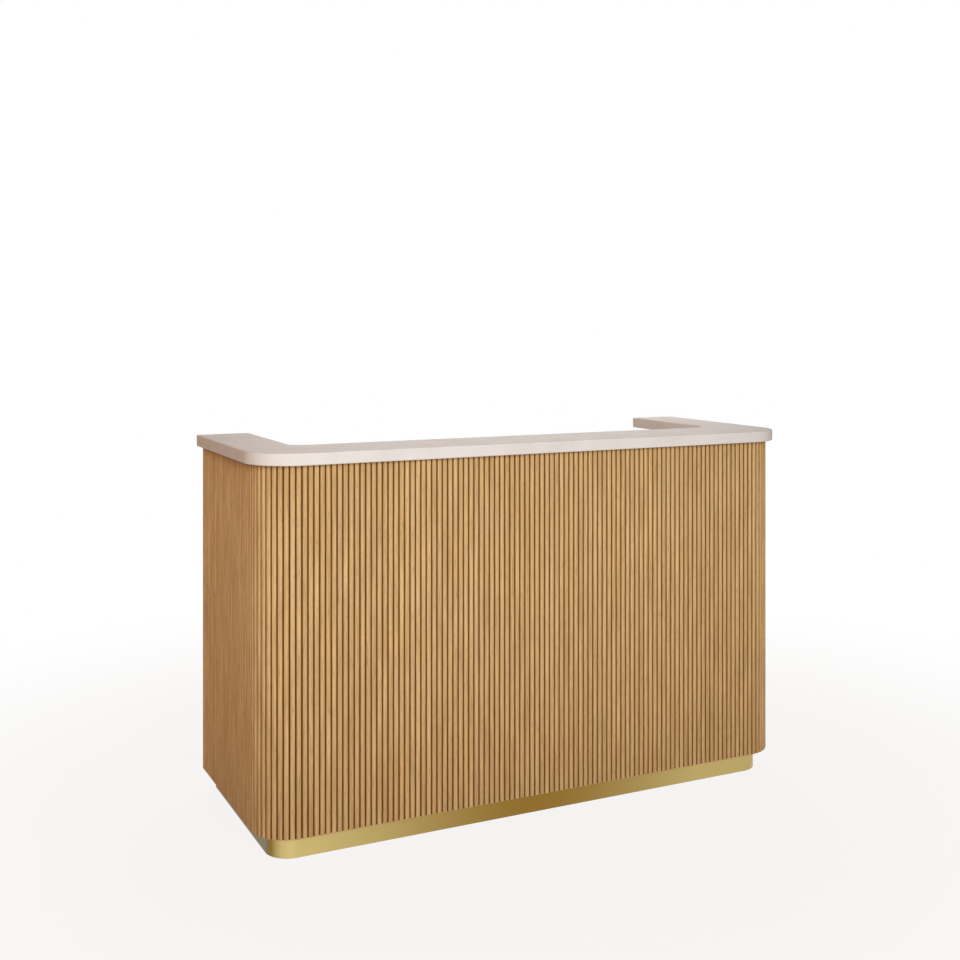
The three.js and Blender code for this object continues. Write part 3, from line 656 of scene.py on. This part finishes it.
bar_radius, bar_ease = 5 * MM, 1.5 * MM
leg_radius, leg_ease = 4 * MM, 0.4 * MM
leg_centres = 128 * MM
fitting_drift = 0.4  # 0 is the skirt's palest tone, 1 its deepest
handles = [(f"{drawer}_drawer", f"{drawer}_drawer", Vector((1, 0, 0))) for drawer in drawers]
handles.append(("cupboard_door", "door", UP))
for owner, body, way in handles:
    handle_low, handle_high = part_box(f"{owner}_handle")
    middle = (handle_low + handle_high) / 2
    length = (handle_high - handle_low).dot(way)
    bar_middle = Vector((middle.x, handle_high.y - bar_radius, middle.z))
    maker = bmesh.new()
    turned(maker, bar_middle - way * length / 2, way, eased_bar(length, bar_radius, bar_ease))
    for sign in (-1, 1):
        leg_foot = Vector((bar_middle.x, handle_low.y, bar_middle.z)) + way * sign * leg_centres / 2
        reach = bar_middle.y - handle_low.y
        turned(maker, leg_foot, Vector((0, 1, 0)), eased_bar(reach, leg_radius, leg_ease))
    even_tone(maker, fitting_drift)
    piece(f"{owner}_turned_handle", maker, brass, body, f"{owner}_handle", crease=50)


# Drawer trays: one sheet of steel folded up on four sides and welded at the corners, with a hemmed rim.
# Powder coat in warm light grey, with the slight orange peel that baked powder leaves.
def round_rect(middle, along, across, width, height, radius, steps=4):
    """Points of a rectangle with round corners, in the plane of two directions."""
    points = []
    for start, sx, sy in ((0, 1, 1), (90, -1, 1), (180, -1, -1), (270, 1, -1)):
        hub = middle + along * sx * (width / 2 - radius) + across * sy * (height / 2 - radius)
        for k in range(steps + 1):
            turn = math.radians(start + 90 * k / steps)
            points.append(hub + radius * (along * math.cos(turn) + across * math.sin(turn)))
    return points


peel = 2.5 * MM  # from one ripple of the orange peel to the next
powder_coat, tree, shader, place = new_finish("powder_coated_steel", Roughness=0.4, IOR=1.5)
ripple = add_node(tree, "ShaderNodeTexNoise", {"Vector": place, "Scale": 1 / peel, "Detail": 2.0})
tone = add_node(tree, "ShaderNodeMix", {
    "Factor_Float": ripple.outputs["Fac"],
    "A_Color": linear("#d3cfc8"),
    "B_Color": linear("#dcd9d3"),
}, data_type="RGBA")
orange = add_node(tree, "ShaderNodeBump", {
    "Height": ripple.outputs["Fac"], "Strength": 0.2, "Distance": 0.15 * MM,
})
tree.links.new(tone.outputs[2], shader.inputs["Base Color"])
tree.links.new(orange.outputs["Normal"], shader.inputs["Normal"])

tray_sheet = 1.5 * MM
tray_fold = 2.5 * MM  # outside radius of the folds
tray_floor_rim = 12 * MM  # from the outside of the fold to the flat of the floor
tray_corner = 0.3 * MM  # least radius inside the corners
hem_width = 3.4 * MM
hem_depth = 9 * MM
hem_lip = 0.4 * MM
hem_steps = 8
for drawer in drawers:
    tray_low, tray_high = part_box(f"{drawer}_drawer_tray")
    tray_middle = (tray_low + tray_high) / 2
    floor_z, top_z = tray_low.z, tray_high.z
    inner_fold = tray_fold - tray_sheet
    section = [(tray_floor_rim, floor_z)]
    section += [(tray_fold * (1 - math.sin(t)), floor_z + tray_fold * (1 - math.cos(t))) for t in quarter]
    hem = hem_width / 2
    for k in range(hem_steps + 1):
        turn = math.pi * k / hem_steps
        section.append((hem * (1 - math.cos(turn)), top_z - hem * (1 - math.sin(turn))))
    section += [(hem_width, top_z - hem_depth), (tray_sheet, top_z - hem_depth - hem_lip)]
    for t in reversed(quarter):
        inset = tray_sheet + inner_fold * (1 - math.sin(t))
        section.append((inset, floor_z + tray_sheet + inner_fold * (1 - math.cos(t))))
    section.append((tray_floor_rim, floor_z + tray_sheet))
    tray_rings = []
    for inset, z in section:
        tray_rings.append(round_rect(
            Vector((tray_middle.x, tray_middle.y, z)), Vector((1, 0, 0)), Vector((0, 1, 0)),
            tray_high.x - tray_low.x - 2 * inset, tray_high.y - tray_low.y - 2 * inset,
            max(tray_fold - inset, tray_corner),
        ))
    maker = bmesh.new()
    loft(maker, tray_rings)
    piece(
        f"{drawer}_drawer_folded_tray", maker, powder_coat, f"{drawer}_drawer",
        f"{drawer}_drawer_tray", crease=40,
    )


# Drawer slides and the strike plate: rolled and pressed steel strip.
# Bright zinc plate, a cool grey metal with faint clouds from the plating bath.
# The tracks are screwed to the wall and the partition, the runners to the trays.
cloud = 12 * MM  # width of a cloud in the plating
zinc_plate, tree, shader, place = new_finish("bright_zinc_plate", Metallic=1.0)
bath = add_node(tree, "ShaderNodeTexNoise", {"Vector": place, "Scale": 1 / cloud, "Detail": 4.0})
tone = add_node(tree, "ShaderNodeMix", {
    "Factor_Float": bath.outputs["Fac"],
    "A_Color": linear("#b3b6b9"),
    "B_Color": linear("#c9cbcc"),
}, data_type="RGBA")
gloss = add_node(tree, "ShaderNodeMapRange", {
    "Value": bath.outputs["Fac"], "To Min": 0.28, "To Max": 0.42,
})
tree.links.new(tone.outputs[2], shader.inputs["Base Color"])
tree.links.new(gloss.outputs["Result"], shader.inputs["Roughness"])
slides = [
    f"{drawer}_drawer_{side}_{half}"
    for drawer in drawers for side in ("left", "right") for half in ("track", "runner")
]
dress([*slides, "door_strike_plate"], zinc_plate, edge=0.3 * MM)


# Door hinges: two butt hinges, each a wall leaf with the pin and two knuckles, and a door leaf with one.
# Drawn brass, brushed like the skirt; each leaf is held by three slotted countersunk screws.
def plate(maker, middle, along, across, width, height, thick, radius):
    """A flat plate with round corners and eased edges; middle is on its back face."""
    out = along.cross(across)
    ease = 0.25 * MM
    rings = []
    for inset, rise in ((ease, 0), (0, ease), (0, thick - ease), (ease, thick)):
        rings.append(round_rect(
            middle + out * rise, along, across, width - 2 * inset, height - 2 * inset, radius - inset,
        ))
    loft(maker, rings)


def slotted_screw(maker, seat, out):
    """A slightly domed screw head, whose slot stops at a chance angle."""
    radius, proud, slot = 2.8 * MM, 0.3 * MM, 0.7 * MM
    sunk, slot_floor = 0.5 * MM, 0.05 * MM
    sides, half_steps = 24, 12
    turn = math.pi * chance.random()
    side = out.orthogonal().normalized()
    across = side * math.cos(turn) + out.cross(side) * math.sin(turn)
    other = out.cross(across)
    turned(maker, seat, out, ((-sunk, radius), (slot_floor, radius)), sides)
    for half in (-1, 1):
        rings = []
        for size, rise in ((radius, 0), (radius, 0.4 * proud), (0.7 * radius, proud)):
            start = math.asin(slot / 2 / size)
            turns = [start + (math.pi - 2 * start) * k / half_steps for k in range(half_steps + 1)]
            ways = [across * math.cos(t) + other * math.sin(t) for t in turns]
            rings.append([seat + out * rise + size * half * way for way in ways])
        loft(maker, rings)


barrel = 3.3 * MM  # radius
pin_radius, pin_ease = 1.5 * MM, 0.2 * MM
leaf_sheet = 1.5 * MM
leaf_corner = 2 * MM
leaf_width = 18 * MM  # from the pin
leaf_start = 3.75 * MM
leaf_height = 60 * MM
knuckle = 19.73 * MM
knuckle_ease = 0.3 * MM
knuckle_play = 0.4 * MM
strap = 4.4 * MM  # from a knuckle to its leaf
screw_row = 11.5 * MM  # from the pin
screw_spacing = 20 * MM
for where in ("upper", "lower"):
    leaf_low, leaf_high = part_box(f"{where}_hinge_frame_leaf")
    pin = Vector((leaf_high.x - barrel, leaf_low.y + barrel, (leaf_low.z + leaf_high.z) / 2))
    leaf_middle = (leaf_start + leaf_width) / 2
    leaf_run = leaf_width - leaf_start
    halves = (
        ("frame", "desk", Vector((0, 1, 0)), Vector((1, 0, 0)), (-1, 1)),
        ("door", "door", Vector((-1, 0, 0)), Vector((0, -1, 0)), (0,)),
    )
    for half, body, run, back, rows in halves:
        maker = bmesh.new()
        bed = pin + back * barrel
        side = -run if half == "frame" else run
        plate(maker, bed + run * leaf_middle, side, UP, leaf_run, leaf_height, leaf_sheet, leaf_corner)
        for row in rows:
            height = row * (knuckle + knuckle_play)
            foot = pin + UP * (height - knuckle / 2)
            turned(maker, foot, UP, eased_bar(knuckle, barrel, knuckle_ease))
            strap_middle = bed + run * strap / 2 + UP * height
            plate(maker, strap_middle, side, UP, strap, knuckle, leaf_sheet, knuckle_ease)
        if half == "frame":
            turned(maker, pin - UP * leaf_height / 2, UP, eased_bar(leaf_height, pin_radius, pin_ease))
        for step in (-1, 0, 1):
            seat = bed - back * leaf_sheet + run * screw_row + UP * step * screw_spacing
            slotted_screw(maker, seat, -back)
        even_tone(maker, fitting_drift)
        piece(
            f"{where}_hinge_{half}_half", maker, brass, body,
            f"{where}_hinge_{half}_leaf", crease=40,
        )


# Door catch: a magnet in a small moulded case, screwed to the partition behind the door's free edge.
# The same warm grey ABS as the grommet.
dress(["door_catch"], moulded_abs, edge=1 * MM)


# Studio: a white floor that fades into a white surround, soft light from the front and the rear, and a
# little warm light from the left. The surround lights the desk less than it shows, so that colours come
# out as they are written.
def seen_outright(tree):
    """1 where a thing is seen outright, mirrored in metal or through glass, and 0 for all other light."""
    rays = add_node(tree, "ShaderNodeLightPath").outputs
    seen = rays["Is Camera Ray"]
    for way in ("Is Glossy Ray", "Is Transmission Ray"):
        seen = add_node(tree, "ShaderNodeMath", {
            "Value": seen, "Value_001": rays[way],
        }, operation="MAXIMUM").outputs["Value"]
    return seen


floor_half = 12.0
maker = bmesh.new()
bmesh.ops.create_grid(maker, x_segments=1, y_segments=1, size=floor_half)
floor_mesh = bpy.data.meshes.new("studio_floor")
maker.to_mesh(floor_mesh)
maker.free()
floor = bpy.data.objects.new("studio_floor", floor_mesh)
bpy.context.scene.collection.objects.link(floor)
paper, tree, shader, place = new_finish("white_paper_floor", Roughness=0.9, Specular_IOR_Level=0.1)
shader.inputs["Base Color"].default_value = linear("#c1ab97")
shadow_reach, white_reach = 0.9, 2.6  # from the desk's middle; all white from there on
near_white = 0.87  # the rest shows the desk's shadow
reach = add_node(tree, "ShaderNodeVectorMath", {"Vector": place}, operation="LENGTH")
fade = add_node(tree, "ShaderNodeMapRange", {
    "Value": reach.outputs["Value"],
    "From Min": shadow_reach, "From Max": white_reach, "To Min": near_white, "To Max": 1.0,
}, interpolation_type="SMOOTHSTEP")
share = add_node(tree, "ShaderNodeMath", {
    "Value": seen_outright(tree), "Value_001": fade.outputs["Result"],
}, operation="MULTIPLY")
white = add_node(tree, "ShaderNodeEmission")
lit = add_node(tree, "ShaderNodeMixShader", {
    "Fac": share.outputs["Value"],
    "Shader": shader.outputs["BSDF"],
    "Shader_001": white.outputs["Emission"],
})
tree.links.new(lit.outputs["Shader"], tree.nodes["Material Output"].inputs["Surface"])
floor_mesh.materials.append(paper)

surround = bpy.data.worlds.new("white_surround")
bpy.context.scene.world = surround
surround.use_nodes = True
tree = surround.node_tree
room_light = add_node(tree, "ShaderNodeBackground", {"Color": linear("#fff5ec"), "Strength": 0.2})
room_white = add_node(tree, "ShaderNodeBackground", {"Color": linear("#ffffff"), "Strength": 1.0})
room = add_node(tree, "ShaderNodeMixShader", {
    "Fac": seen_outright(tree),
    "Shader": room_light.outputs["Background"],
    "Shader_001": room_white.outputs["Background"],
})
tree.links.new(room.outputs["Shader"], tree.nodes["World Output"].inputs["Surface"])

desk_middle = Vector((0, 0, 0.55))
lamps = (  # name, place, size in metres, watts, colour
    ("front_softbox", (-1.4, -4.8, 2.05), 2.6, 233.0, "#f5fcff"),
    ("rear_softbox", (1.8, 3.6, 2.1), 3.0, 150.0, "#fffbf6"),
    ("left_softbox", (-4.05, -0.5, 3.1), 2.6, 34.5, "#ffb583"),
)
for name, spot, size, power, colour in lamps:
    lamp = bpy.data.lights.new(name, "AREA")
    lamp.color = linear(colour)[:3]
    lamp.size = size
    lamp.energy = power
    stand = bpy.data.objects.new(name, lamp)
    stand.location = spot
    stand.rotation_euler = (desk_middle - Vector(spot)).to_track_quat("-Z", "Y").to_euler()
    stand.visible_camera = False
    bpy.context.scene.collection.objects.link(stand)


# Camera: level, at eye height to the front left, looking 26 degrees to the right of straight on.
# The frame is shifted down instead of tilted, so that upright edges stay upright.
camera = bpy.data.cameras.new("photo_camera")
camera.lens = 47.02
camera.shift_y = -0.16362
eye = bpy.data.objects.new("photo_camera", camera)
eye.location = (-1.63034, -3.21309, 1.31469)
eye.rotation_euler = (math.radians(90), 0, math.radians(-26.036))
bpy.context.scene.collection.objects.link(eye)
bpy.context.scene.camera = eye
bpy.context.scene.view_settings.view_transform = "Standard"
